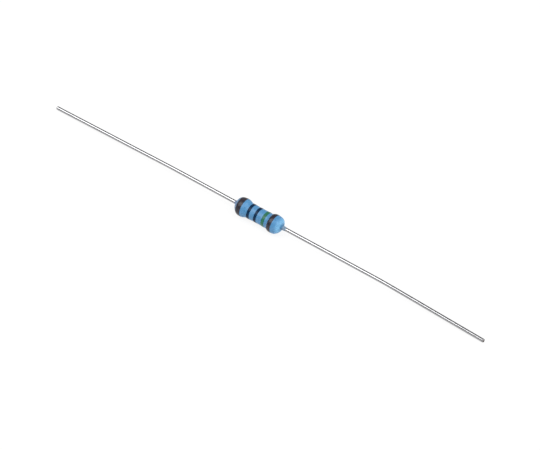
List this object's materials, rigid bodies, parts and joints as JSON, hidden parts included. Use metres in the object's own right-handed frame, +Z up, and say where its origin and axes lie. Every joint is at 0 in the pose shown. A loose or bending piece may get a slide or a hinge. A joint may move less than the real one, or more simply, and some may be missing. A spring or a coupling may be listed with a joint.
{
  "type": "axial resistor",
  "caption": "Axial-lead metal film resistor: lacquered dogbone body with printed colour bands and a long straight wire lead at each end.",
  "frame": {"origin": "on the body's own axis at the middle of the body, which is also the centre of the whole part's box", "axes": "+X along the resistor's axis towards the end whose dome stays bare, +Z up as the part lies, +Y across it"},
  "size_m": [0.0636, 0.0024, 0.0024],
  "materials": {
    "alumina": "matte",
    "metal_film": "satin",
    "plated_cap": "satin",
    "tinned_wire": "satin",
    "blue_lacquer": "satin",
    "brown_ink": "satin",
    "black_ink": "satin",
    "green_ink": "satin"
  },
  "bodies": {
    "root": {"ceramic_rod": "alumina", "resistive_film": "metal_film", "end_cap_left": "plated_cap", "end_cap_right": "plated_cap", "lead_left": "tinned_wire", "lead_right": "tinned_wire", "lacquer_coat": "blue_lacquer", "band_1_brown": "brown_ink", "band_2_black": "black_ink", "band_3_black": "black_ink", "band_4_green": "green_ink", "band_5_brown": "brown_ink"}
  },
  "joints": []
}
